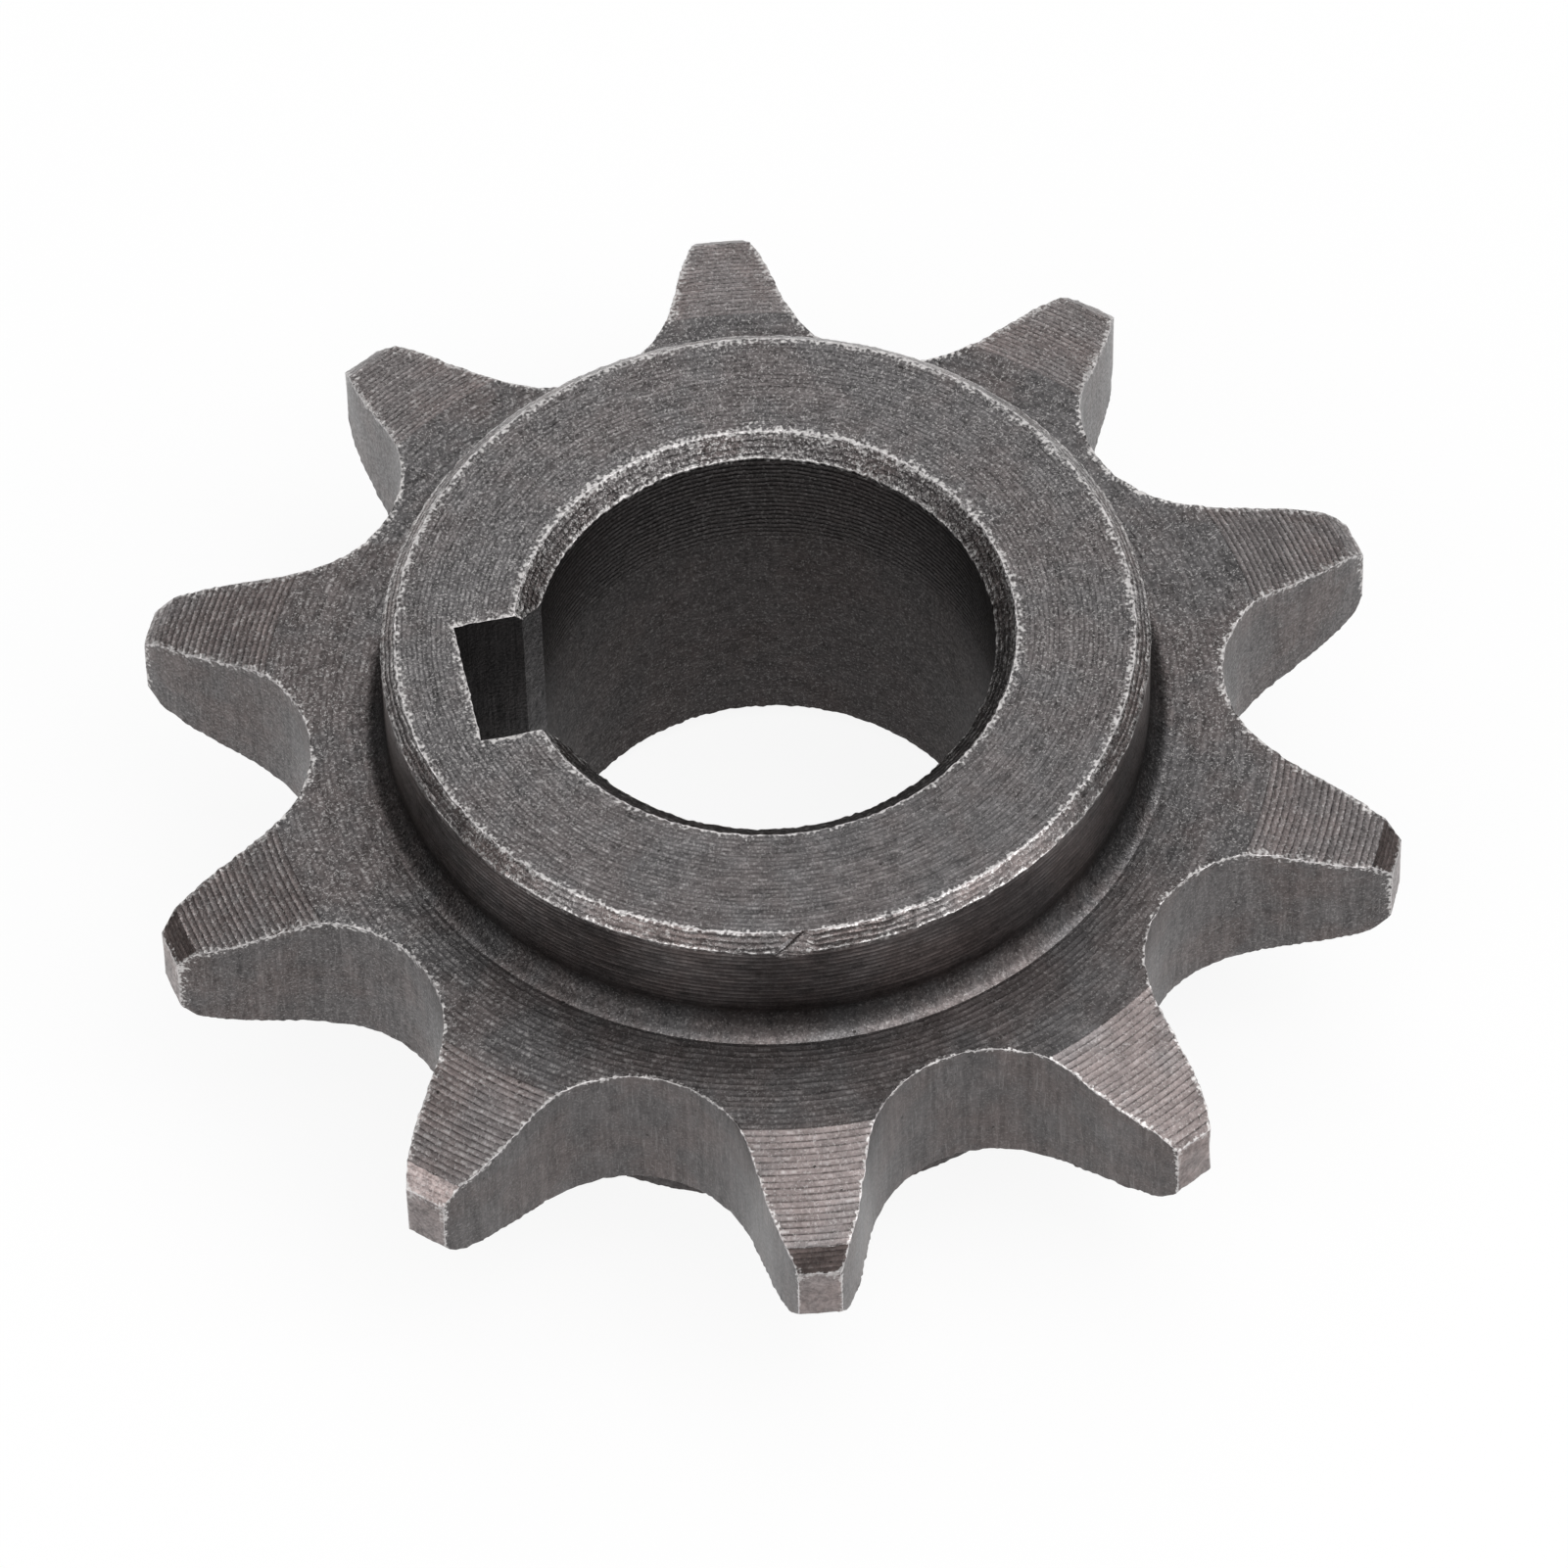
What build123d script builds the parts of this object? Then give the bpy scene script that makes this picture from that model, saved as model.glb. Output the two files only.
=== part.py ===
"""Chain sprocket with ten teeth and a hub on each side, turned and cut from one piece of steel.

Millimetres. +Z runs along the bore from the lower hub to the upper hub.
The origin is on the bore's axis, on the lower hub's end face, and the keyway lies towards -X.
"""
from build123d import *
from math import acos, asin, cos, degrees, pi, radians, sin, sqrt, tan
import os

# Teeth, for a roller chain
teeth = 10
chain_pitch = 12.7
seat_relief = 0.14  # roller seats are centred this far inside the pitch circle
seat_radius = 4.4
seat_angle = 118.0  # arc of one seat, from flank to flank
flank_straight = 1.75
flank_radius = 9.65
tip_height = 1.95  # tooth tips above the pitch circle

# Toothed plate, relieved on both sides so that the chain drops on
plate_thickness = 6.0
relief_start_radius = 17.7
relief_angle = 15.2
tip_bevel_width = 0.66
tip_bevel_depth = 0.68

# Hubs
hub_radius = 13.35
upper_hub_height = 4.75
lower_hub_height = 5.15
hub_root_fillet = 0.8
upper_hub_chamfer = 0.5
lower_hub_chamfer = 0.6

# Bore and keyway
bore_radius = 8.0
bore_chamfer_width = 0.73
bore_chamfer_depth = 0.66
key_width = 5.0
key_depth = 2.5  # from the bore's wall to the keyway's floor
key_angle = 180.0
key_lead = 7.3  # degrees from the nearest tooth gap to the keyway
corner_break_wall = 0.47  # filed corners of the keyway: along its wall
corner_break_bore = 0.87  # and along the bore

# Heights and radii that follow from these
plate_bottom = lower_hub_height
plate_top = plate_bottom + plate_thickness
total_height = plate_top + upper_hub_height
pitch_radius = chain_pitch / (2 * sin(pi / teeth))
tip_radius = pitch_radius + tip_height
relief_end_radius = tip_radius - tip_bevel_width
relief_depth = (relief_end_radius - relief_start_radius) * tan(radians(relief_angle))
tip_depth = relief_depth + tip_bevel_depth


def turned_blank():
    """The lathe's work: both hubs, the plate with its relieved rim, and the chamfered bore."""
    section = make_face(
        Polyline(
            (bore_radius, bore_chamfer_depth),
            (bore_radius + bore_chamfer_width, 0),
            (hub_radius - lower_hub_chamfer, 0),
            (hub_radius, lower_hub_chamfer),
            (hub_radius, plate_bottom),
            (relief_start_radius, plate_bottom),
            (relief_end_radius, plate_bottom + relief_depth),
            (tip_radius, plate_bottom + tip_depth),
            (tip_radius, plate_top - tip_depth),
            (relief_end_radius, plate_top - relief_depth),
            (relief_start_radius, plate_top),
            (hub_radius, plate_top),
            (hub_radius, total_height - upper_hub_chamfer),
            (hub_radius - upper_hub_chamfer, total_height),
            (bore_radius + bore_chamfer_width, total_height),
            (bore_radius, total_height - bore_chamfer_depth),
            close=True,
        )
    )
    hub_roots = [
        section.vertices().sort_by_distance((hub_radius, height))[0]
        for height in (plate_bottom, plate_top)
    ]
    section = fillet(hub_roots, radius=hub_root_fillet)
    return revolve(Plane.XZ * section, Axis.Z)


def tooth_gap():
    """One gap along +X: a roller seat, short straight flanks, then flanks that curve out past the tips."""
    seat_centre = pitch_radius - seat_relief
    half_seat = seat_angle / 2
    seat = JernArc((seat_centre - seat_radius, 0), (0, 1), seat_radius, -half_seat)
    straight = Line(seat @ 1, seat @ 1 + (seat % 1) * flank_straight)
    # The flank's arc turns until it is clear of the tips, by the cosine rule about its own centre
    to_centre = Vector(-sin(radians(90 - half_seat)), cos(radians(90 - half_seat)))
    flank_centre = straight @ 1 + to_centre * flank_radius
    offset = flank_centre.length
    clear_radius = tip_radius + tip_height
    start_radius = (straight @ 1).length
    turn_at_start = acos((start_radius**2 - offset**2 - flank_radius**2) / (2 * offset * flank_radius))
    turn_at_end = acos((clear_radius**2 - offset**2 - flank_radius**2) / (2 * offset * flank_radius))
    flank = JernArc(straight @ 1, straight % 1, flank_radius, degrees(turn_at_start - turn_at_end))
    mouth_corner = Vector(2 * tip_radius, (flank @ 1).Y)
    mouth = Polyline(flank @ 1, mouth_corner, (mouth_corner.X, 0))
    half = [seat, straight, flank, mouth]
    outline = make_face([*half, *[mirror(edge, about=Plane.XZ) for edge in half]])
    return extrude(outline, total_height)


def keyway():
    """The key's slot through the whole bore, along +X, with both of its corners filed off."""
    half_width = key_width / 2
    corner_distance = sqrt(bore_radius**2 - half_width**2)
    filed_angle = asin(half_width / bore_radius) + corner_break_bore / bore_radius
    filed_end = Vector(bore_radius * cos(filed_angle), bore_radius * sin(filed_angle))
    upper_side = [
        Vector(bore_radius + key_depth, half_width),
        Vector(corner_distance + corner_break_wall, half_width),
        filed_end,
    ]
    lower_side = [Vector(point.X, -point.Y) for point in reversed(upper_side)]
    outline = Polyline(*upper_side, Vector(0, 0), *lower_side, close=True)
    return extrude(make_face(outline), total_height)


def sprocket():
    """The blank with its tooth gaps and keyway cut."""
    gaps = [place * tooth_gap() for place in PolarLocations(0, teeth, start_angle=key_angle - key_lead)]
    slot = Rot(Z=key_angle) * keyway()
    return turned_blank() - gaps - slot


os.makedirs("parts", exist_ok=True)
part = sprocket()
part.label = "sprocket"
export_step(part, "parts/sprocket.step")
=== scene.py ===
import bmesh
import bpy
import random
from math import acos, asin, atan2, cos, hypot, pi, radians, sin, sqrt, tan
from mathutils import Matrix, Vector, kdtree, noise


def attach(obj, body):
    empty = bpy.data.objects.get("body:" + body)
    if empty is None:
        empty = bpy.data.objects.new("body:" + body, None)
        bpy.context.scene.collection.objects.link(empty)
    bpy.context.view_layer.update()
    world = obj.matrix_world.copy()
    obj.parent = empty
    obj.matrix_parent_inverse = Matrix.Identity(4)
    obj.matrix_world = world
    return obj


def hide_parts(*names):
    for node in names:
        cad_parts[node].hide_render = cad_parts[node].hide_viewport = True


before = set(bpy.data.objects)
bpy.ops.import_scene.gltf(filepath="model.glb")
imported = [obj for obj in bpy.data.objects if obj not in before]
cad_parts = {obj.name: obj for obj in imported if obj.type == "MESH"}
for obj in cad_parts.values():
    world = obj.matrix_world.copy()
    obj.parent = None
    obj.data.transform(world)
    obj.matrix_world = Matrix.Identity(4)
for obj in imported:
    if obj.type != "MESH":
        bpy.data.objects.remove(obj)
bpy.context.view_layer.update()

# The sprocket's form. One piece of steel, turned on a lathe as a section through both hubs and the plate,
# and then cut into teeth. The mesh is made the same way: the section is spun over one pitch of the teeth,
# and copied round the axis.
mm = 0.001
teeth = 10
pitch_angle = 2 * pi / teeth
pitch_radius = 12.7 * mm / (2 * sin(pi / teeth))
seat_centre = pitch_radius - 0.14 * mm
seat_radius = 4.4 * mm
half_seat = radians(118.0) / 2
flank_straight = 1.75 * mm
flank_radius = 9.65 * mm
tip_radius = pitch_radius + 1.95 * mm

plate_thickness = 6.0 * mm
relief_start = 17.7 * mm
relief_slope = tan(radians(15.2))
bevel_start = tip_radius - 0.66 * mm
bevel_drop = 0.68 * mm
upper_bulge = 0.03 * mm
lower_bulge = 0.1 * mm
groove_pitch = 0.235 * mm
groove_depth = 0.010 * mm

hub_radius = 13.35 * mm
upper_hub = 4.75 * mm
lower_hub = 5.15 * mm
upper_chamfer = 0.5 * mm
lower_chamfer = 0.6 * mm
root_blend = 0.8 * mm
foot_tilt = radians(11)
bore_radius = 8.0 * mm
bore_chamfer_width = 0.73 * mm
bore_chamfer_depth = 0.66 * mm
key_floor = bore_radius + 2.5 * mm

plate_bottom = lower_hub
plate_top = plate_bottom + plate_thickness
hub_top = plate_top + upper_hub
key_angle = pi
first_gap = key_angle - radians(7.3)

seat_end = Vector((seat_centre - seat_radius * cos(half_seat), seat_radius * sin(half_seat)))
along_flank = Vector((sin(half_seat), cos(half_seat)))
into_tooth = Vector((-cos(half_seat), sin(half_seat)))
flank_start = seat_end + along_flank * flank_straight
flank_centre = flank_start + into_tooth * flank_radius

touching = 0.0001 * mm
axis = Vector((0, 0, 1))


def cosine_angle(side_a, side_b, opposite):
    """The angle between two sides of a triangle, from its three sides."""
    return acos(max(-1.0, min(1.0, (side_a**2 + side_b**2 - opposite**2) / (2 * side_a * side_b))))


def gap_edge_angle(radius):
    """How far round from the middle of a gap its edge lies, at one distance from the axis."""
    if radius <= seat_end.length:
        return cosine_angle(radius, seat_centre, seat_radius)
    if radius >= flank_start.length:
        middle = atan2(flank_centre.y, flank_centre.x)
        return middle - cosine_angle(radius, flank_centre.length, flank_radius)
    aside = seat_end.dot(into_tooth)
    run = sqrt(radius**2 - aside**2) - seat_end.dot(along_flank)
    point = seat_end + along_flank * run
    return atan2(point.y, point.x)


def seat_edge_radius(angle):
    """Distance from the axis to the roller seat's wall, at one angle from the middle of the gap."""
    return seat_centre * cos(angle) - sqrt(seat_radius**2 - (seat_centre * sin(angle)) ** 2)


def relief_drop(radius):
    """How far the side of a tooth lies under the plate's face."""
    drop = max(0.0, min(radius, bevel_start) - relief_start) * relief_slope
    return drop + max(0.0, radius - bevel_start) / (tip_radius - bevel_start) * bevel_drop


def hub_half_section(end_height, face_height, outward, chamfer):
    """Points from the plate's relief in to the bore, over one hub.

    outward is 1 above the plate and -1 below it. Between the corners of the section are more points, near
    together where an edge is worn and far apart elsewhere.
    """
    points = [(relief_start - inward * mm, face_height) for inward in (0, 0.12, 1.1, 2.3, 3.1)]
    steps = 9
    blend_radius = root_blend / (1 - sin(foot_tilt))
    blend_height = blend_radius * cos(foot_tilt)
    for step in range(steps + 1):
        tilt = foot_tilt + (pi / 2 - foot_tilt) * step / steps
        radius = hub_radius + blend_radius * (1 - sin(tilt))
        points.append((radius, face_height + outward * (blend_height - blend_radius * cos(tilt))))
    points += [(hub_radius, end_height - outward * (chamfer + down * mm)) for down in (0.9, 0.3)]
    for share in (0, 0.25, 0.5, 0.75, 1):
        points.append((hub_radius - chamfer * share, end_height - outward * chamfer * (1 - share)))
    points += [(hub_radius - chamfer - inward * mm, end_height) for inward in (0.25, 0.6, 1.3)]
    points += [(key_floor + 0.4 * mm, end_height), (key_floor - 0.4 * mm, end_height)]
    points.append((bore_radius + bore_chamfer_width + 0.3 * mm, end_height))
    for share in (0, 0.5, 1):
        drop = outward * bore_chamfer_depth * share
        points.append((bore_radius + bore_chamfer_width * (1 - share), end_height - drop))
    points.append((bore_radius, end_height - outward * (bore_chamfer_depth + 0.3 * mm)))
    return points


seat_steps = 26
tooth_steps = 14
pitch_steps = 2 * seat_steps + tooth_steps
relief_edge = gap_edge_angle(relief_start)

upper_points = hub_half_section(hub_top, plate_top, 1, upper_chamfer)
lower_points = hub_half_section(0, plate_bottom, -1, lower_chamfer)
section = upper_points + lower_points[::-1]
form = bmesh.new()
corners = [form.verts.new((radius, 0, height)) for radius, height in section]
edges = [form.edges.new(pair) for pair in zip(corners, corners[1:])]
bmesh.ops.spin(form, geom=corners + edges, cent=(0, 0, 0), axis=axis, angle=pitch_angle, steps=pitch_steps)

# The spun plate ends at a circle: its edge is drawn in to the roller seats on both sides of the tooth,
# and the rings inside it follow less and less.
plate_inner = hub_radius + root_blend
seat_share = seat_steps / pitch_steps * pitch_angle
for corner in form.verts:
    angle = atan2(corner.co.y, corner.co.x)
    radius = hypot(corner.co.x, corner.co.y)
    from_gap = min(angle, pitch_angle - angle)
    if from_gap < seat_share:
        turned = max(from_gap, 0) / seat_share * relief_edge
    else:
        middle = pitch_angle / 2
        turned = middle - (middle - from_gap) / (middle - seat_share) * (middle - relief_edge)
    if radius > plate_inner:
        limit = seat_edge_radius(turned) if turned < relief_edge else relief_start
        radius = plate_inner + (radius - plate_inner) / (relief_start - plate_inner) * (limit - plate_inner)
    if angle > pitch_angle / 2:
        turned = pitch_angle - turned
    corner.co = (radius * cos(turned), radius * sin(turned), corner.co.z)

# Each tooth is drawn out from the plate's edge, one lathe groove after another, and narrows to its tip. A
# groove is a shallow hollow with a crest on each side, and no two are quite the same. The tip's bevels
# bulge a little.
random.seed(7)
groove_count = round((bevel_start - relief_start) / groove_pitch)
groove_width = (bevel_start - relief_start) / groove_count
rings = []
for groove in range(groove_count):
    depth = groove_depth * random.uniform(0.55, 1.25)
    shift = random.uniform(-0.05, 0.05)
    for share, sunk in ((0.3, 0.9), (0.7, 0.9), (1.0, 0.0)):
        skew = 0 if share == 1.0 else shift
        rings.append((relief_start + groove_width * (groove + share + skew), depth * sunk))
rings[-1] = (bevel_start, 0)


def lies_at(edge, radius):
    """Whether both ends of an edge lie at one distance from the axis."""
    return all(abs(hypot(end.co.x, end.co.y) - radius) < touching for end in edge.verts)


for height, outward, bulge in ((plate_top, 1, upper_bulge), (plate_bottom, -1, lower_bulge)):
    bevel = []
    for share in (0.25, 0.5, 0.75, 1.0):
        bevel.append((bevel_start + (tip_radius - bevel_start) * share, -bulge * sin(pi * share)))
    rim = [edge for edge in form.edges if lies_at(edge, relief_start)]
    rung = [edge for edge in rim if all(abs(end.co.z - height) < touching for end in edge.verts)]
    last = relief_start
    for radius, sunk in rings + bevel:
        grown = bmesh.ops.extrude_edge_only(form, edges=rung)["geom"]
        old_edge = gap_edge_angle(last)
        new_edge = gap_edge_angle(radius)
        middle = pitch_angle / 2
        for corner in (item for item in grown if isinstance(item, bmesh.types.BMVert)):
            share = (atan2(corner.co.y, corner.co.x) - middle) / (middle - old_edge)
            angle = middle + share * (middle - new_edge)
            drop = relief_drop(radius) + sunk
            corner.co = (radius * cos(angle), radius * sin(angle), height - outward * drop)
        rung = [item for item in grown if isinstance(item, bmesh.types.BMEdge) and lies_at(item, radius)]
        last = radius

# The one tooth is copied round the axis, and the two plates' edges are joined by the walls of the gaps
# and the tips.
whole = form.verts[:] + form.edges[:] + form.faces[:]
others = teeth - 1
bmesh.ops.spin(
    form, geom=whole, cent=(0, 0, 0), axis=axis, angle=pitch_angle * others, steps=others, use_duplicate=True
)
bmesh.ops.remove_doubles(form, verts=form.verts, dist=0.001 * mm)
open_edges = [edge for edge in form.edges if edge.is_boundary]
bmesh.ops.bridge_loops(form, edges=open_edges)
bmesh.ops.rotate(form, verts=form.verts, cent=(0, 0, 0), matrix=Matrix.Rotation(first_gap, 3, "Z"))
bmesh.ops.recalc_face_normals(form, faces=form.faces)
mesh = bpy.data.meshes.new("sprocket_steel")
form.to_mesh(mesh)
form.free()
sprocket = bpy.data.objects.new("sprocket_steel", mesh)
bpy.context.scene.collection.objects.link(sprocket)

# The keyway is broached through the bore, and a file has taken its corners off. One cutter, whose outline
# has both the slot and its corners, is drawn through the hubs and the plate.
key_half = 2.5 * mm
corner_wall = 0.47 * mm
corner_bore = 0.87 * mm
filed_angle = asin(key_half / bore_radius) + corner_bore / bore_radius
filed_end = Vector((bore_radius * cos(filed_angle), bore_radius * sin(filed_angle)))
wall_end = sqrt(bore_radius**2 - key_half**2) + corner_wall
side = [(key_floor, key_half), (wall_end, key_half), (filed_end.x, filed_end.y)]
outline = side + [(0, 0)] + [(x, -y) for x, y in side[::-1]]
past = 1 * mm
cutter_form = bmesh.new()
ring = [cutter_form.verts.new((x, y, -past)) for x, y in outline]
base = cutter_form.faces.new(ring)
raised = bmesh.ops.extrude_face_region(cutter_form, geom=[base])["geom"]
bmesh.ops.translate(
    cutter_form,
    verts=[item for item in raised if isinstance(item, bmesh.types.BMVert)],
    vec=(0, 0, hub_top + 2 * past),
)
key_turn = Matrix.Rotation(key_angle, 3, "Z")
bmesh.ops.rotate(cutter_form, verts=cutter_form.verts, cent=(0, 0, 0), matrix=key_turn)
bmesh.ops.recalc_face_normals(cutter_form, faces=cutter_form.faces)
cutter_mesh = bpy.data.meshes.new("broach")
cutter_form.to_mesh(cutter_mesh)
cutter_form.free()
cutter = bpy.data.objects.new("broach", cutter_mesh)
bpy.context.scene.collection.objects.link(cutter)
cut = sprocket.modifiers.new("keyway", "BOOLEAN")
cut.operation = "DIFFERENCE"
cut.solver = "EXACT"
cut.object = cutter
cut_mesh = bpy.data.meshes.new_from_object(sprocket.evaluated_get(bpy.context.evaluated_depsgraph_get()))
sprocket.modifiers.clear()
sprocket.data = cut_mesh
bpy.data.meshes.remove(mesh)
bpy.data.objects.remove(cutter)
bpy.data.meshes.remove(cutter_mesh)

# The finishes. Each face is given the one that the tool which cut it left behind, told by where the face
# lies and which way it looks. Soot has stayed on the tip bevels of three teeth, and those of one tooth
# are rubbed bright.
finishes = [
    "faced_end", "rim_chamfer", "hub_side", "hub_foot",
    "plate_face", "tooth_side", "tip_bevel", "soot_and_painted_shade",
    "tip_land", "gap_wall", "bore_chamfer", "bore_wall",
    "keyway_wall", "filed_corner", "burr_and_painted_highlight", "dull_edge",
]
close = 0.02 * mm
sooty_teeth = (0, 2, 4)
rubbed_tooth = 1


def finish_of(face):
    """The finish of a face, from where it lies and which way it looks.

    flat is 1 where the face is level and 0 where it is upright. radial is 1 where it looks straight out from
    the axis and -1 where it looks straight in.
    """
    centre = face.calc_center_median()
    radius = hypot(centre.x, centre.y)
    out = Vector((centre.x, centre.y)).normalized()
    normal = face.normal
    flat = abs(normal.z)
    radial = normal.x * out.x + normal.y * out.y
    in_key = abs(centre.y) < key_half + close and centre.x < 0 and radius < key_floor + key_half / 2
    if in_key and flat < 0.5 and (abs(normal.y) > 0.999 or normal.x > 0.999):
        return "keyway_wall"
    if radius < bore_radius + bore_chamfer_width and flat < 0.05 and radial > -0.97 and not in_key:
        return "filed_corner" if abs(centre.y) < filed_end.y + close and centre.x < 0 else "bore_wall"
    if radius < bore_radius + close and flat < 0.05:
        return "filed_corner" if abs(centre.y) < filed_end.y - close and centre.x < 0 else "bore_wall"
    if radius < hub_radius + close:
        if flat > 0.999:
            return "faced_end"
        if radial < 0:
            return "bore_chamfer" if flat > 0.3 else "filed_corner"
        return "rim_chamfer" if flat > 0.3 else "hub_side"
    if flat > 0.9999:
        return "plate_face"
    if radius < hub_radius + root_blend:
        return "hub_foot"
    if flat < 0.02:
        return "tip_land" if radial > 0.99 and radius > tip_radius - close else "gap_wall"
    if radius > bevel_start:
        tooth = int((atan2(centre.y, centre.x) - first_gap) / pitch_angle % teeth)
        if tooth in sooty_teeth:
            return "soot_and_painted_shade"
        return "tip_bevel" if tooth == rubbed_tooth else "tooth_side"
    return "tooth_side" if radius > relief_start - close else "plate_face"


solid = bmesh.new()
solid.from_mesh(sprocket.data)
bmesh.ops.remove_doubles(solid, verts=solid.verts, dist=0.012 * mm)
bmesh.ops.dissolve_degenerate(solid, edges=solid.edges, dist=0.001 * mm)
for face in solid.faces:
    face.material_index = finishes.index(finish_of(face))

# The walls of the gaps and the tips reach from one side of the plate to the other in single faces. Level
# cuts divide them, so that the wear near their edges has corners to lie on.
for height in (0.35, 0.95, 1.65, 3.0, 4.35, 5.05, 5.65):
    walls = [face for face in solid.faces if finishes[face.material_index] in ("gap_wall", "tip_land")]
    rims = dict.fromkeys(edge for face in walls for edge in face.edges)
    ends = dict.fromkeys(corner for face in walls for corner in face.verts)
    cut_place = (0, 0, plate_bottom + height * mm)
    wall_parts = [*ends, *rims, *walls]
    bmesh.ops.bisect_plane(solid, geom=wall_parts, plane_co=cut_place, plane_no=axis, dist=touching)

# Every sharp edge is a narrow line, and an uneven one: burrs stand along the cuts, and the rims are
# rubbed and dented. Their bright finish is partly worn metal and partly a painted highlight, for the light
# that the rolled burrs catch. Edges on the lower hub and the underside, along the hub's side, where the
# tip bevels start and in the bore get a duller finish, without that painted highlight.
edge_angle = radians(25)
edge_width = 0.08 * mm
sharp = [edge for edge in solid.edges if edge.is_manifold and edge.calc_face_angle(0) > edge_angle]
made = bmesh.ops.bevel(
    solid, geom=sharp, offset=edge_width, offset_type="OFFSET", affect="EDGES", segments=2, profile=0.5,
    material=-1, clamp_overlap=True,
)
highlight_edge_index = finishes.index("burr_and_painted_highlight")
dull_index = finishes.index("dull_edge")
filed_index = finishes.index("filed_corner")
near = 0.2 * mm
edge_corners = {}
worn_corners = {}
for face in made["faces"]:
    centre = face.calc_center_median()
    radius = hypot(centre.x, centre.y)
    on_side = hub_radius - near < radius < hub_radius + root_blend
    low = centre.z < plate_bottom + relief_drop(radius) + near
    at_bevel = abs(radius - bevel_start) < near and abs(face.normal.z) > 0.8
    in_bore = radius < bore_radius + near
    in_keyway = abs(centre.y) < filed_end.y + close and centre.x < 0 and radius < key_floor + 3 * near
    if in_keyway and 0.15 * mm < centre.z < hub_top - 0.15 * mm and abs(face.normal.z) < 0.4:
        face.material_index = filed_index
    elif on_side or low or at_bevel or in_bore:
        face.material_index = dull_index
    else:
        face.material_index = highlight_edge_index
    edge_corners.update(dict.fromkeys(face.verts))
    if not low and not at_bevel:
        worn_corners.update(dict.fromkeys(face.verts))

edge_unevenness = 0.055 * mm
outermost = tip_radius - 0.006 * mm
noise.seed_set(7)
for corner in edge_corners:
    spot = corner.co / mm
    push = noise.noise_vector(spot * 1.9) * 0.5 + noise.noise_vector(spot * 5.3) * 0.8
    moved = corner.co + push * edge_unevenness
    outside = max(1.0, hypot(moved.x, moved.y) / outermost)
    corner.co = (moved.x / outside, moved.y / outside, min(max(moved.z, 0), hub_top))

edge_points = kdtree.KDTree(len(worn_corners))
for index, corner in enumerate(worn_corners):
    edge_points.insert(corner.co, index)
edge_points.balance()

# A knock has left a nick across the upper hub's rim: a steep wall, with a lip raised over it and a
# slanting facet under it. The wall is painted with shade, and the lip with a painted highlight.
nick_angle = radians(262.4)
nick_slant = radians(30)
nick_half_width = 0.26 * mm
nick_half_length = 0.66 * mm
nick_depth = 0.2 * mm
nick_lip = 0.25 * nick_depth
rim_middle = hub_top - 0.3 * mm
outward_of_nick = Vector((cos(nick_angle), sin(nick_angle), 0.7)).normalized()


def nick_place(point):
    """Where a point lies on the nick: across it and along it, each as a share of half its size."""
    around = (atan2(point.y, point.x) % (2 * pi) - nick_angle) * hub_radius
    down = rim_middle - point.z
    across = around * sin(nick_slant) + down * cos(nick_slant)
    along = around * cos(nick_slant) - down * sin(nick_slant)
    return across / nick_half_width, along / nick_half_length


def by_nick(point):
    """Whether a point lies on the rim near the nick."""
    inside = hypot(point.x, point.y) < hub_radius - upper_chamfer - 0.1 * mm
    if inside or point.z < plate_top + root_blend:
        return False
    across, along = nick_place(point)
    return -2.4 < across < 3.2 and abs(along) < 1.6


near_nick = {corner for corner in solid.verts if by_nick(corner.co)}
dented = [edge for edge in solid.edges if all(end in near_nick for end in edge.verts)]
bmesh.ops.subdivide_edges(solid, edges=dented, cuts=2, use_grid_fill=True)

# The nick's wall drops at once, its facet rises slowly from the wall's foot, and both run out at its
# ends.
for corner in solid.verts:
    if by_nick(corner.co):
        across, along = nick_place(corner.co)
        from_end = max(0.0, 1 - abs(along))
        sunk = max(0.0, min(1.0 + across * 3, 1.0 - across / 2.2)) * min(1.0, 2.5 * from_end)
        lifted = max(0.0, 1 - abs(across + 0.75) / 0.45) * from_end
        corner.co += outward_of_nick * (lifted * nick_lip - sunk * nick_depth)
        corner.co.z = min(corner.co.z, hub_top)
# Painted shade on the nick's steep wall, in the dark bevel finish, and a painted highlight on its lip, in the
# bright edge finish; the facet keeps the rim chamfer's finish.
for face in solid.faces:
    centre = face.calc_center_median()
    if by_nick(centre):
        across, along = nick_place(centre)
        painted_shade_wall = abs(along) < 0.7 and -0.32 < across < 0.0
        on_facet = abs(along) < 0.95 and -0.4 < across < 2.0
        painted_highlight_lip = abs(along) < 0.6 and -0.75 < across <= -0.4
        if painted_shade_wall:
            face.material_index = finishes.index("soot_and_painted_shade")
        elif on_facet:
            face.material_index = finishes.index("rim_chamfer")
        elif painted_highlight_lip and centre.z < hub_top - 0.15 * mm:
            face.material_index = highlight_edge_index

# The wear, and the painted highlight that goes with it, are thickest by the sharp edges, so each corner of
# the mesh keeps how far it lies from the nearest one, in millimetres.
far = solid.verts.layers.float.new("edge_distance")
for corner in solid.verts:
    corner[far] = min(1.0, edge_points.find(corner.co)[2] / mm)

solid.to_mesh(sprocket.data)
solid.free()
steel = sprocket.data
for face in steel.polygons:
    face.use_smooth = True
steel.set_sharp_from_angle(angle=radians(12))

# The steel's materials. Each tool left its own marks: feed lines from the lathe, drag marks from the
# tooth cutter and the broach, and file scratches. Oil has browned the dark skin in patches, and handling
# has rubbed the edges and high spots bright. The same bright colour also paints highlights: glints on the
# edges and flecks, stronger on some sides than others.
skin_grey = (0.130, 0.1245, 0.126, 1)
skin_brown = (0.152, 0.122, 0.116, 1)
rubbed_and_glint = (0.70, 0.68, 0.67, 1)
soot = (0.018, 0.016, 0.015, 1)


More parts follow.
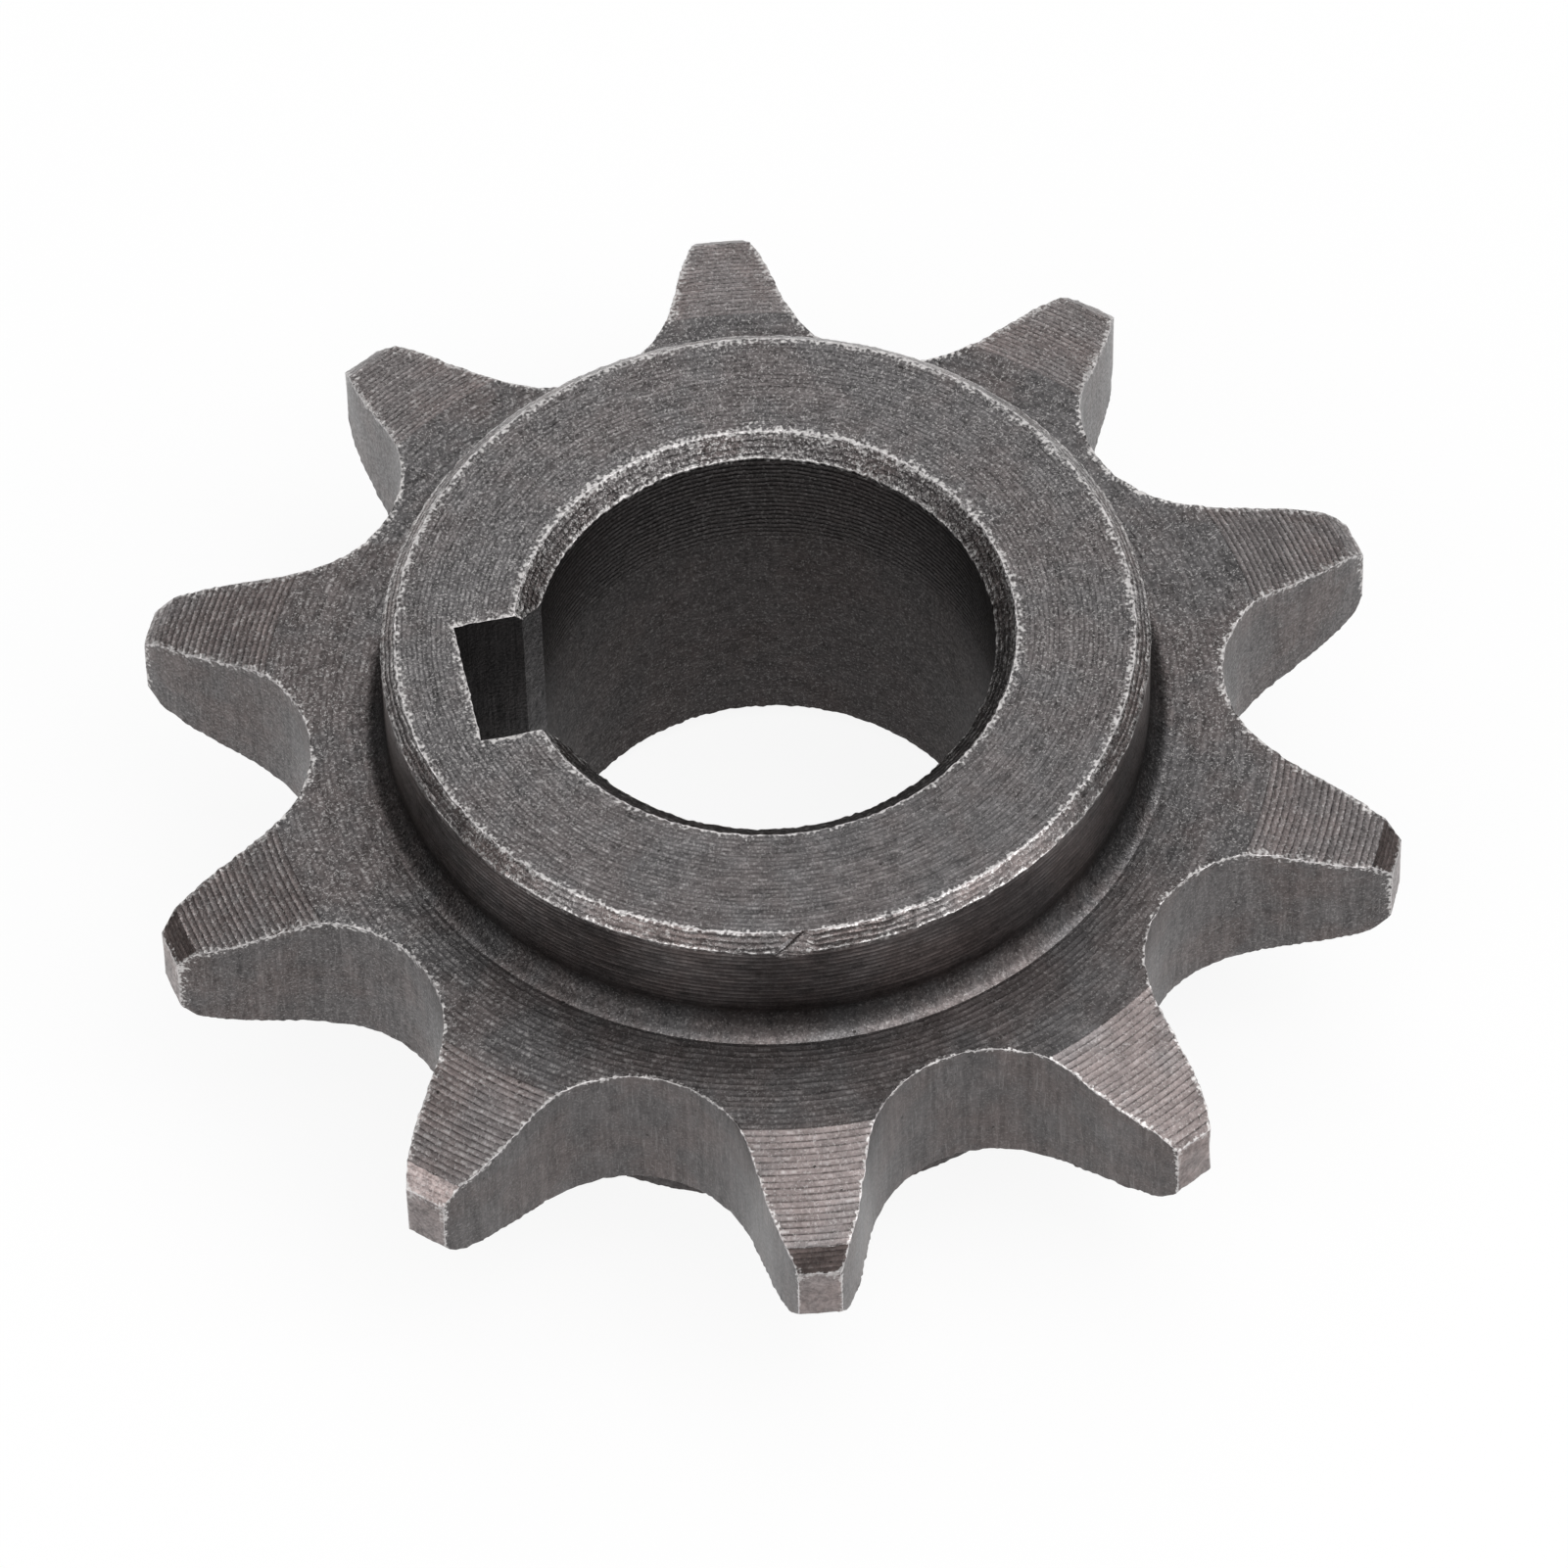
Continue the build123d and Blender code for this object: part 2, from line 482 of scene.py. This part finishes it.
def new_group(name, inputs, outputs):
    """A shader node group with named number or vector sockets, and its input and output nodes."""
    group = bpy.data.node_groups.new(name, "ShaderNodeTree")
    for socket, kind, value in inputs:
        added = group.interface.new_socket(name=socket, in_out="INPUT", socket_type=kind)
        added.default_value = value
    for socket, kind in outputs:
        group.interface.new_socket(name=socket, in_out="OUTPUT", socket_type=kind)
    return group, group.nodes.new("NodeGroupInput"), group.nodes.new("NodeGroupOutput")


def wire(tree, target, value):
    """Joins a socket to another socket, or gives it a plain value."""
    if isinstance(value, bpy.types.NodeSocket):
        tree.links.new(value, target)
    else:
        target.default_value = value


def maths(tree, operation, *values, clamp=False):
    """One Math node. Its inputs are sockets or numbers."""
    node = tree.nodes.new("ShaderNodeMath")
    node.operation = operation
    node.use_clamp = clamp
    for target, value in zip(node.inputs, values):
        wire(tree, target, value)
    return node.outputs[0]


def ramp(tree, value, low, high, out_low=0.0, out_high=1.0):
    """A smooth step from one number to another."""
    node = tree.nodes.new("ShaderNodeMapRange")
    node.interpolation_type = "SMOOTHSTEP"
    for target, item in zip(node.inputs, (value, low, high, out_low, out_high)):
        wire(tree, target, item)
    return node.outputs[0]


def grain_noise(tree, vector, scale, detail=2.0, rough=0.5):
    """A three-dimensional noise between 0 and 1."""
    node = tree.nodes.new("ShaderNodeTexNoise")
    wire(tree, node.inputs["Vector"], vector)
    node.inputs["Scale"].default_value = scale
    node.inputs["Detail"].default_value = detail
    node.inputs["Roughness"].default_value = rough
    return node.outputs["Fac"]


def join_vector(tree, x, y, z):
    """A vector from three numbers or sockets."""
    node = tree.nodes.new("ShaderNodeCombineXYZ")
    for target, value in zip(node.inputs, (x, y, z)):
        wire(tree, target, value)
    return node.outputs[0]


def scaled(tree, vector, share):
    """A vector or a colour made longer or brighter. share is a number or a socket."""
    node = tree.nodes.new("ShaderNodeVectorMath")
    node.operation = "SCALE"
    wire(tree, node.inputs[0], vector)
    wire(tree, node.inputs["Scale"], share)
    return node.outputs[0]


def mixed(tree, factor, first, second):
    """One colour mixed into another."""
    node = tree.nodes.new("ShaderNodeMix")
    node.data_type = "RGBA"
    wire(tree, node.inputs[0], factor)
    wire(tree, node.inputs[6], first)
    wire(tree, node.inputs[7], second)
    return node.outputs[2]


def placed(tree, group):
    """One use of a node group in a material or in another group."""
    node = tree.nodes.new("ShaderNodeGroup")
    node.node_tree = group
    return node


# Where a point lies on the lathe: its distance from the axis and its height, in millimetres, and how far
# its place lies to the east and to the north of the axis, as shares of that distance.
number, vector3 = "NodeSocketFloat", "NodeSocketVector"
lathe_space, _, space_out = new_group(
    "lathe_space",
    [],
    [("Radius", number), ("Height", number), ("East", number), ("North", number), ("Place", vector3)],
)
place = scaled(lathe_space, lathe_space.nodes.new("ShaderNodeTexCoord").outputs["Object"], 1 / mm)
apart = lathe_space.nodes.new("ShaderNodeSeparateXYZ")
wire(lathe_space, apart.inputs[0], place)
squares = [maths(lathe_space, "MULTIPLY", apart.outputs[i], apart.outputs[i]) for i in (0, 1)]
out_radius = maths(lathe_space, "SQRT", maths(lathe_space, "ADD", *squares))
wire(lathe_space, space_out.inputs["Radius"], out_radius)
wire(lathe_space, space_out.inputs["Height"], apart.outputs[2])
wire(lathe_space, space_out.inputs["East"], maths(lathe_space, "DIVIDE", apart.outputs[0], out_radius))
wire(lathe_space, space_out.inputs["North"], maths(lathe_space, "DIVIDE", apart.outputs[1], out_radius))
wire(lathe_space, space_out.inputs["Place"], place)

# Feed lines: the tool's nose leaves one shallow hollow each turn, with a fine crest between it and the
# next. Each turn has its own tone, which changes along it, and short bright dashes lie in some of the
# hollows.
feed_lines, feed_in, feed_out = new_group(
    "feed_lines",
    [("Across", number, 0), ("Pitch", number, 0.23), ("Depth", number, 0.01), ("Wander", number, 0.05)],
    [("Rise", number), ("Crest", number), ("Tone", number), ("Dash_and_glint", number)],
)
space = placed(feed_lines, lathe_space)
east_north = [maths(feed_lines, "MULTIPLY", space.outputs[side], 9.0) for side in ("East", "North")]
drift_height = maths(feed_lines, "MULTIPLY", feed_in.outputs["Across"], 1.3)
drift_place = join_vector(feed_lines, *east_north, drift_height)
drift = maths(feed_lines, "SUBTRACT", grain_noise(feed_lines, drift_place, 1.0, 2.0), 0.5)
shifted = maths(feed_lines, "MULTIPLY_ADD", drift, feed_in.outputs["Wander"], feed_in.outputs["Across"])
turns = maths(feed_lines, "DIVIDE", shifted, feed_in.outputs["Pitch"])
turn_index = maths(feed_lines, "FLOOR", turns)
within = maths(feed_lines, "MULTIPLY_ADD", maths(feed_lines, "FRACT", turns), 2.0, -1.0)
bowl = maths(feed_lines, "MULTIPLY", within, within)
tone_place = join_vector(feed_lines, *east_north, maths(feed_lines, "MULTIPLY", turn_index, 5.3))
tone = ramp(feed_lines, grain_noise(feed_lines, tone_place, 1.6, 4.0, 0.7), 0.32, 0.68)
strength = maths(feed_lines, "MULTIPLY_ADD", tone, 0.9, 0.55)
rise = maths(feed_lines, "MULTIPLY", maths(feed_lines, "MULTIPLY", bowl, strength), feed_in.outputs["Depth"])
wire(feed_lines, feed_out.inputs["Rise"], rise)
crest = maths(feed_lines, "MULTIPLY", ramp(feed_lines, bowl, 0.35, 0.9), maths(feed_lines, "ADD", tone, 0.35))
wire(feed_lines, feed_out.inputs["Crest"], crest)
wire(feed_lines, feed_out.inputs["Tone"], tone)
row_noise = ramp(feed_lines, grain_noise(feed_lines, tone_place, 7.5, 3.0, 0.7), 0.5, 0.68)
row_tone = maths(feed_lines, "MULTIPLY_ADD", tone, 0.7, 0.3)
row = maths(feed_lines, "MULTIPLY", ramp(feed_lines, bowl, 0.3, 0.05), row_tone)
# Painted highlight: the dashes are brighter towards the west and dimmer towards the east, as glints on the
# feed lines.
row = maths(feed_lines, "MULTIPLY", row, ramp(feed_lines, space.outputs["East"], 0.3, -0.6, 0.5, 1.6))
wire(feed_lines, feed_out.inputs["Dash_and_glint"], maths(feed_lines, "MULTIPLY", row, row_noise))

# The steel's skin: soft blotches, a fine grain, bright flecks like short worms, small pits, and patches
# browned by oil. The grain and the flecks are fainter on the south side, where the photograph shows them
# so.
steel_skin, _, skin_out = new_group(
    "steel_skin",
    [],
    [("Blotch", number), ("Grain", number), ("Fleck", number), ("Pit", number), ("Patch", number)],
)
skin_space = placed(steel_skin, lathe_space)
skin_place = skin_space.outputs["Place"]
soft_noise = grain_noise(steel_skin, skin_place, 1.4, 3.0, 0.6)
wire(steel_skin, skin_out.inputs["Blotch"], ramp(steel_skin, soft_noise, 0.3, 0.7))
# Painted light: the fade stands for the sheen of the grain and the glints of the flecks, which are weaker on
# the south side.
painted_sheen_side = ramp(steel_skin, skin_space.outputs["North"], -1.0, -0.3, 0.55, 1.15)
fine_noise = grain_noise(steel_skin, skin_place, 8.0, 3.0, 0.65)
grain = maths(steel_skin, "SUBTRACT", ramp(steel_skin, fine_noise, 0.33, 0.67), 0.5)
wire(steel_skin, skin_out.inputs["Grain"], maths(steel_skin, "MULTIPLY_ADD", grain, painted_sheen_side, 0.5))
off_line = maths(steel_skin, "SUBTRACT", grain_noise(steel_skin, skin_place, 6.3, 2.0), 0.5)
broken = ramp(steel_skin, grain_noise(steel_skin, skin_place, 9.1, 2.0, 0.6), 0.47, 0.62)
thin_line = ramp(steel_skin, maths(steel_skin, "ABSOLUTE", off_line), 0.05, 0.005)
worm = maths(steel_skin, "MULTIPLY", thin_line, broken)
speck = ramp(steel_skin, grain_noise(steel_skin, skin_place, 11.0, 1.0), 0.62, 0.76)
fleck = maths(steel_skin, "MULTIPLY", maths(steel_skin, "MAXIMUM", worm, speck), painted_sheen_side)
wire(steel_skin, skin_out.inputs["Fleck"], fleck)
pit_noise = grain_noise(steel_skin, skin_place, 4.1, 0.0)
wire(steel_skin, skin_out.inputs["Pit"], ramp(steel_skin, pit_noise, 0.17, 0.12))
patch_noise = grain_noise(steel_skin, skin_place, 0.33, 4.0, 0.6)
wire(steel_skin, skin_out.inputs["Patch"], ramp(steel_skin, patch_noise, 0.4, 0.62))

# Edge wear and a painted highlight: bright grit, thick at a sharp edge and thin away from it. It reads
# the distance to the nearest sharp edge that each corner of the mesh keeps.
edge_wear_and_highlight, wear_in, wear_out = new_group("edge_wear_and_highlight", [("Width", number, 0.1)], [("Wear", number)])
distance = edge_wear_and_highlight.nodes.new("ShaderNodeAttribute")
distance.attribute_name = "edge_distance"
wear_space = placed(edge_wear_and_highlight, lathe_space)
wear_place = wear_space.outputs["Place"]
ragged = maths(edge_wear_and_highlight, "MULTIPLY_ADD", grain_noise(edge_wear_and_highlight, wear_place, 1.7, 3.0, 0.6), 2.4, -0.5)
# Painted highlight: away from the south side the grit reaches up to twice as far, as light caught on the
# edges there.
painted_highlight_side = ramp(edge_wear_and_highlight, wear_space.outputs["North"], -1.0, -0.3, 0.9, 2.0)
reach = maths(edge_wear_and_highlight, "MULTIPLY", maths(edge_wear_and_highlight, "MAXIMUM", ragged, 0.15), wear_in.outputs["Width"])
share_out = maths(edge_wear_and_highlight, "DIVIDE", distance.outputs["Fac"], maths(edge_wear_and_highlight, "MULTIPLY", reach, painted_highlight_side))
threshold = maths(edge_wear_and_highlight, "MULTIPLY_ADD", share_out, 0.16, 0.4)
clump = maths(edge_wear_and_highlight, "SUBTRACT", grain_noise(edge_wear_and_highlight, wear_place, 7.5, 1.0, 0.5), threshold)
wire(edge_wear_and_highlight, wear_out.inputs["Wear"], ramp(edge_wear_and_highlight, clump, -0.09, 0.16))


def marks_along(tree, space, across, ring_radius, counts):
    """Noise drawn out along a tool's path.

    counts is how many marks lie along and over the path in a millimetre, or along X, Y and Z on a wall.
    """
    if across:
        around = ring_radius * counts[0]
        east_north = [maths(tree, "MULTIPLY", space.outputs[side], around) for side in ("East", "North")]
        over = maths(tree, "MULTIPLY", space.outputs[across], counts[1])
        return grain_noise(tree, join_vector(tree, *east_north, over), 1.0, 3.0, 0.65)
    stretch = tree.nodes.new("ShaderNodeVectorMath")
    stretch.operation = "MULTIPLY"
    wire(tree, stretch.inputs[0], space.outputs["Place"])
    stretch.inputs[1].default_value = counts
    return grain_noise(tree, stretch.outputs[0], 1.0, 3.0, 0.65)


def steel_finish(name, across, ring_radius=0.0, tone=1.0, roughness=0.42, pitch=0.0, first_line=0.0,
                 line_depth=0.0, wander=0.05, line_shade=0.0, tone_swing=0.5, streak=(), streak_amount=0.0,
                 dash=(), dash_amount=0.0, row_amount=0.0, grain_swing=0.6, grain_rise=0.004,
                 fleck_amount=0.5, patch_amount=0.5, oil=0.0, wear_width=0.1, wear_amount=0.85, corner=(),
                 edge_tint=1.0):
    """One finish of the dark steel. across says which way its lines are counted: Radius, Height or None.

    Sizes are in millimetres. tone scales the skin's colour. pitch, first_line, line_depth and wander are the
    feed lines', and line_shade says how dark they are, or how bright if it is negative. Streaks are long
    marks, dashes are short bright ones, and row dashes lie along the feed lines. oil browns the whole finish
    and patch_amount its patches. corner is a corner where the feed lines fade out and painted shade darkens
    the finish: Radius or Height, where the shade is darkest, where it ends, and the tone there. edge_tint
    under 1 dulls the glare of a glancing view.
    """
    material = bpy.data.materials.new(name)
    material.use_nodes = True
    tree = material.node_tree
    shader = tree.nodes["Principled BSDF"]
    space = placed(tree, lathe_space)
    skin = placed(tree, steel_skin)
    level = maths(tree, "MULTIPLY_ADD", skin.outputs["Blotch"], 0.24, 0.88 - grain_swing / 2)
    level = maths(tree, "MULTIPLY_ADD", skin.outputs["Grain"], grain_swing, level)
    height = maths(tree, "MULTIPLY", skin.outputs["Grain"], grain_rise)
    clear = ramp(tree, space.outputs[corner[0]], corner[1], corner[2]) if corner else 1.0
    if pitch:
        lines = placed(tree, feed_lines)
        wire(tree, lines.inputs["Across"], maths(tree, "SUBTRACT", space.outputs[across], first_line))
        lines.inputs["Pitch"].default_value = pitch
        lines.inputs["Depth"].default_value = line_depth
        lines.inputs["Wander"].default_value = wander
        height = maths(tree, "MULTIPLY_ADD", lines.outputs["Rise"], clear, height)
        uneven = maths(tree, "SUBTRACT", lines.outputs["Tone"], 0.5)
        level = maths(tree, "MULTIPLY_ADD", uneven, tone_swing, level)
        shade = maths(tree, "MULTIPLY", clear, -line_shade) if corner else -line_shade
        level = maths(tree, "MULTIPLY_ADD", lines.outputs["Crest"], shade, level)
    if streak_amount:
        marks = maths(tree, "SUBTRACT", marks_along(tree, space, across, ring_radius, streak), 0.5)
        level = maths(tree, "MULTIPLY_ADD", marks, streak_amount * 3, level)
        height = maths(tree, "MULTIPLY_ADD", marks, streak_amount * 0.012, height)
    bright = maths(tree, "MULTIPLY", skin.outputs["Fleck"], fleck_amount)
    if row_amount:
        bright = maths(tree, "MAXIMUM", bright, maths(tree, "MULTIPLY", lines.outputs["Dash_and_glint"], row_amount))
    if dash_amount:
        short = ramp(tree, marks_along(tree, space, across, ring_radius, dash), 0.57, 0.65)
        bright = maths(tree, "MAXIMUM", bright, maths(tree, "MULTIPLY", short, dash_amount))
    if wear_amount:
        wear = placed(tree, edge_wear_and_highlight)
        wear.inputs["Width"].default_value = wear_width
        bright = maths(tree, "MAXIMUM", bright, maths(tree, "MULTIPLY", wear.outputs["Wear"], wear_amount))
    level = maths(tree, "MULTIPLY", maths(tree, "MAXIMUM", level, 0.12), tone)
    # Painted shade: the finish darkens into the corner, down to the corner's tone.
    if corner:
        corner_shade = maths(tree, "MULTIPLY_ADD", clear, 1 - corner[3], corner[3])
        level = maths(tree, "MULTIPLY", level, corner_shade)
        bright = maths(tree, "MULTIPLY", bright, corner_shade)
    browned = maths(tree, "MULTIPLY_ADD", skin.outputs["Patch"], patch_amount, oil, clamp=True)
    skin_colour = mixed(tree, browned, skin_grey, skin_brown)
    sooty = maths(tree, "MULTIPLY", skin.outputs["Pit"], 0.8)
    colour = mixed(tree, sooty, scaled(tree, skin_colour, level), soot)
    wire(tree, shader.inputs["Base Color"], mixed(tree, bright, colour, rubbed_and_glint))
    shader.inputs["Metallic"].default_value = 1.0
    shader.inputs["Specular Tint"].default_value = (edge_tint, edge_tint, edge_tint, 1)
    matt = maths(tree, "MULTIPLY_ADD", skin.outputs["Grain"], -0.12, roughness + 0.06)
    wire(tree, shader.inputs["Roughness"], matt)
    bump = tree.nodes.new("ShaderNodeBump")
    bump.inputs["Distance"].default_value = mm
    wire(tree, bump.inputs["Height"], height)
    wire(tree, shader.inputs["Normal"], bump.outputs["Normal"])
    steel.materials.append(material)


groove_mm = groove_width / mm

steel_finish("faced_end", "Radius", 10.7, tone=0.92, pitch=0.17, line_depth=0.006, wander=0.08,
             line_shade=0.35, streak=(0.8, 8), streak_amount=0.4, row_amount=0.3, grain_swing=0.42,
             fleck_amount=0.42, patch_amount=0.3, wear_width=0.115, wear_amount=0.8)
steel_finish("rim_chamfer", "Height", 13.1, tone=1.08, roughness=0.29, pitch=0.14, line_depth=0.012,
             wander=0.2, line_shade=0.2, streak=(1.5, 9), streak_amount=0.5, dash=(3, 9), dash_amount=0.4,
             fleck_amount=0.6, patch_amount=0.55, oil=0.2)
# The hub's side is painted with shade towards its foot, and the foot towards the hub's side.
steel_finish("hub_side", "Height", 13.35, tone=0.73, pitch=0.22, line_depth=0.010, wander=0.08,
             line_shade=-0.25, streak=(0.5, 6), streak_amount=0.5, row_amount=0.12, grain_swing=0.4,
             fleck_amount=0.15, patch_amount=0.4, oil=0.35, wear_amount=0.4,
             corner=("Height", 11.95, 12.7, 0.55))
steel_finish("hub_foot", "Radius", 13.8, tone=1.36, streak=(5, 3), streak_amount=0.4, grain_swing=0.8,
             grain_rise=0.008, fleck_amount=0.6, wear_amount=0, corner=("Radius", 13.75, 14.15, 0.3))
steel_finish("plate_face", "Radius", 15.5, tone=0.77, pitch=0.23, line_depth=0.004, wander=0.14,
             line_shade=0.2, streak=(0.6, 7), streak_amount=0.3, row_amount=0.28, grain_swing=0.34,
             fleck_amount=0.36, patch_amount=0.45)
steel_finish("tooth_side", "Radius", 19.8, tone=1.55, pitch=groove_mm, first_line=relief_start / mm,
             line_depth=0.006, wander=0.0, line_shade=0.6, tone_swing=0.3, streak=(0.8, 7),
             streak_amount=0.15, row_amount=0.4, grain_swing=0.42, fleck_amount=0.48, patch_amount=0.35,
             oil=0.3, wear_width=0.12)
steel_finish("tip_bevel", "Radius", 22.2, tone=2.5, pitch=0.13, line_depth=0.004, line_shade=0.2,
             streak=(1, 5), streak_amount=0.4, dash=(4, 8), dash_amount=0.3, patch_amount=0.4, oil=0.6,
             wear_width=0.07)
steel_finish("soot_and_painted_shade", "Radius", 22.2, tone=0.78, pitch=0.13, line_depth=0.006, line_shade=0.3,
             streak=(2, 6), streak_amount=0.25, dash=(4, 10), dash_amount=0.06, fleck_amount=0.1, oil=1.0,
             wear_width=0.07)
steel_finish("tip_land", "Height", 22.5, tone=1.58, streak=(2, 2), streak_amount=0.5, grain_swing=0.35,
             fleck_amount=0.2, patch_amount=0.4, oil=0.5, wear_width=0.07, wear_amount=0.5)
steel_finish("gap_wall", None, tone=0.72, roughness=0.38, streak=(3.5, 3.5, 0.3), streak_amount=0.45,
             dash=(13, 13, 1.3), dash_amount=0.09, grain_swing=0.35, fleck_amount=0.2, oil=0.15,
             wear_amount=0.75)
steel_finish("bore_chamfer", "Radius", 8.4, tone=0.85, roughness=0.36, pitch=0.17, line_depth=0.016,
             wander=0.15, line_shade=0.5, streak=(3, 7), streak_amount=0.4, dash=(4, 8), dash_amount=0.5,
             grain_swing=0.5, grain_rise=0.014, fleck_amount=0.6, patch_amount=0.4, oil=0.2,
             wear_width=0.09)
# The bore's wall is painted a little darker deep in the bore, as shade, and its feed lines fade there.
steel_finish("bore_wall", "Height", 8.0, tone=0.32, pitch=0.24, line_depth=0.018, wander=0.2,
             line_shade=0.8, tone_swing=0.3, streak=(0.35, 8), streak_amount=0.26, row_amount=0.1,
             grain_swing=0.22, fleck_amount=0.12, patch_amount=0.25, oil=0.35, wear_width=0.05,
             wear_amount=0.5, corner=("Height", 10.0, 11.4, 0.95), edge_tint=0.62)
steel_finish("keyway_wall", None, tone=0.5, streak=(9, 9, 0.5), streak_amount=0.6, fleck_amount=0.03,
             patch_amount=0.2, wear_amount=0, edge_tint=0.7)
steel_finish("filed_corner", None, tone=0.62, streak=(3, 3, 3), streak_amount=0.9, grain_swing=0.4,
             grain_rise=0.014, fleck_amount=0.04, patch_amount=0.1, wear_amount=0, edge_tint=0.6)
# The sharp edges' bright finish: worn burrs, brightened further as a painted highlight.
steel_finish("burr_and_painted_highlight", None, tone=4.2, roughness=0.34, streak=(1.3, 1.3, 1.3), streak_amount=0.6,
             dash=(6, 6, 6), dash_amount=0.6, grain_swing=0.7, grain_rise=0.006, fleck_amount=0.6,
             patch_amount=0.1, wear_amount=0)
steel_finish("dull_edge", None, tone=1.5, streak=(3, 3, 3), streak_amount=0.9, dash=(6, 6, 6),
             dash_amount=0.5, grain_swing=0.9, fleck_amount=0.6, wear_amount=0)

# The smooth shading follows the large faces, and the sprocket stands for its CAD solid.
weights = sprocket.modifiers.new("flat_faces", "WEIGHTED_NORMAL")
weights.keep_sharp = True
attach(sprocket, "root")
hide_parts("sprocket")

# The floor: a plain white sheet under the sprocket. It lies a hair below the hub's face, so that the two
# don't flicker through each other, and the camera and the steel's gloss see it as evenly white.
floor_gap = 0.01 * mm
floor_mesh = bpy.data.meshes.new("floor")
floor_form = bmesh.new()
floor_place = Matrix.Translation((0, 0, -floor_gap))
bmesh.ops.create_grid(floor_form, x_segments=1, y_segments=1, size=3.0, matrix=floor_place)
floor_form.to_mesh(floor_mesh)
floor_form.free()
floor = bpy.data.objects.new("floor", floor_mesh)
bpy.context.scene.collection.objects.link(floor)
paper = bpy.data.materials.new("white_paper")
paper.use_nodes = True
paper_tree = paper.node_tree
sheet = paper_tree.nodes["Principled BSDF"]
sheet.inputs["Base Color"].default_value = (0.95, 0.95, 0.95, 1)
sheet.inputs["Roughness"].default_value = 0.9
glow = paper_tree.nodes.new("ShaderNodeEmission")
rays = paper_tree.nodes.new("ShaderNodeLightPath")
seen = maths(paper_tree, "MAXIMUM", rays.outputs["Is Camera Ray"], rays.outputs["Is Transmission Ray"])
seen = maths(paper_tree, "MULTIPLY", seen, 0.9)
seen = maths(paper_tree, "MULTIPLY_ADD", rays.outputs["Is Glossy Ray"], 0.8, seen)
blend = paper_tree.nodes.new("ShaderNodeMixShader")
wire(paper_tree, blend.inputs["Fac"], seen)
wire(paper_tree, blend.inputs[1], sheet.outputs[0])
wire(paper_tree, blend.inputs[2], glow.outputs[0])
wire(paper_tree, paper_tree.nodes["Material Output"].inputs["Surface"], blend.outputs[0])
floor_mesh.materials.append(paper)

# The camera stands at the photograph's angle, far back with a long lens, and is tilted a little to one
# side as the photograph is.
camera_azimuth = radians(-100.46)
camera_elevation = radians(53.934)
camera_distance = 442.71 * mm
camera_roll = radians(-1.682)
aim = Vector((-0.0733 * mm, -3.1743 * mm, plate_top))
run = cos(camera_elevation)
back = Vector((run * cos(camera_azimuth), run * sin(camera_azimuth), sin(camera_elevation)))
sideways = Vector((-sin(camera_azimuth), cos(camera_azimuth), 0))
upright = back.cross(sideways)
right = sideways * cos(camera_roll) + upright * sin(camera_roll)
up = upright * cos(camera_roll) - sideways * sin(camera_roll)
camera_data = bpy.data.cameras.new("camera")
camera_data.sensor_width = 36
camera_data.lens = 292.24
camera_data.clip_start = 0.01
camera = bpy.data.objects.new("camera", camera_data)
bpy.context.scene.collection.objects.link(camera)
turn = Matrix((right, up, back)).transposed().to_4x4()
camera.matrix_world = Matrix.Translation(aim + back * camera_distance) @ turn
bpy.context.scene.camera = camera

# Soft studio light: a large softbox overhead, others in front, on the right and behind, and a card low on
# each side of the camera, which lights the rims.
world = bpy.data.worlds.new("studio")
bpy.context.scene.world = world
world.use_nodes = True
world.node_tree.nodes["Background"].inputs["Color"].default_value = (0.18, 0.18, 0.18, 1)


def softbox(name, turned, elevation, radiance):
    """A square area lamp that faces the sprocket.

    turned is its place in degrees, anticlockwise from the camera. Where radiance is 1, its surface is as
    bright as a sheet that shows as white.
    """
    size = 0.55
    distance = 0.8
    data = bpy.data.lights.new(name, "AREA")
    data.shape = "SQUARE"
    data.size = size
    data.energy = radiance * pi * size * size
    lamp = bpy.data.objects.new(name, data)
    bpy.context.scene.collection.objects.link(lamp)
    azimuth = camera_azimuth + radians(turned)
    run = cos(radians(elevation))
    way = Vector((run * cos(azimuth), run * sin(azimuth), sin(radians(elevation))))
    lamp.matrix_world = Matrix.Translation(way * distance) @ way.to_track_quat("Z", "Y").to_matrix().to_4x4()


softbox("overhead_softbox", 100, 82, 1.55)
softbox("front_softbox", 345, 48, 1.05)
softbox("right_softbox", 60, 55, 2.4)
softbox("right_card", 60, 22, 1.5)
softbox("back_softbox", 180, 55, 1.05)
softbox("low_back_softbox", 180, 22, 0.65)
softbox("left_card", 312, 30, 1.5)

view = bpy.context.scene.view_settings
view.view_transform = "Standard"
